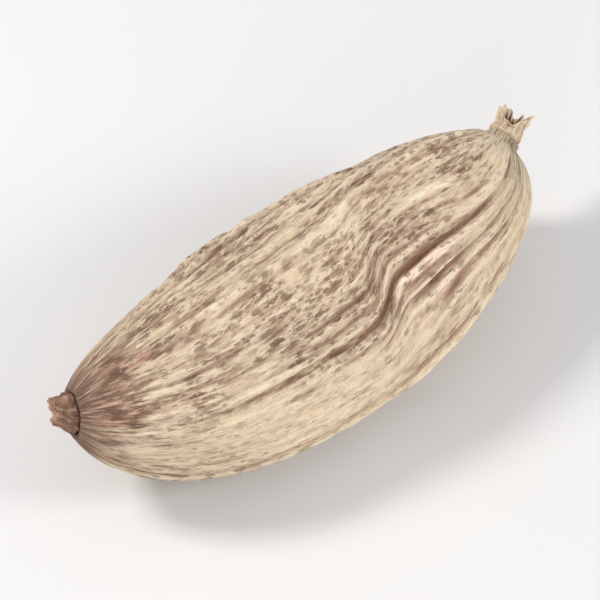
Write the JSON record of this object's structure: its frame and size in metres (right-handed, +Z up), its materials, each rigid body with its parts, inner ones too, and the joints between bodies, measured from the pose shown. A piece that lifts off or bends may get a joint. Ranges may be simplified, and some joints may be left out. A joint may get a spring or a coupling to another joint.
{
  "type": "green cardamom pod",
  "caption": "Dried cardamom seed pod: a blunt, three-sided, ribbed husk lying on its side, with a brown stalk stub at one end and a papery flower remnant at the other.",
  "frame": {"origin": "on the surface the pod lies on, under the middle of its bounding box", "axes": "+Z up, +X along the pod from the stalk stub to the flower remnant, -Y the side with the front suture"},
  "size_m": [0.0212, 0.0076, 0.0072],
  "materials": {
    "husk": "dry, papery, fibrous straw-tan husk, matt with a slight sheen on the ridges",
    "stalk_stub": "dry, reddish-brown, rough broken stalk",
    "flower_remnant": "dry, pale, papery and frayed, matt"
  },
  "bodies": {
    "root": {"husk": "husk", "stalk_stub": "stalk_stub", "flower_remnant": "flower_remnant"}
  },
  "joints": []
}
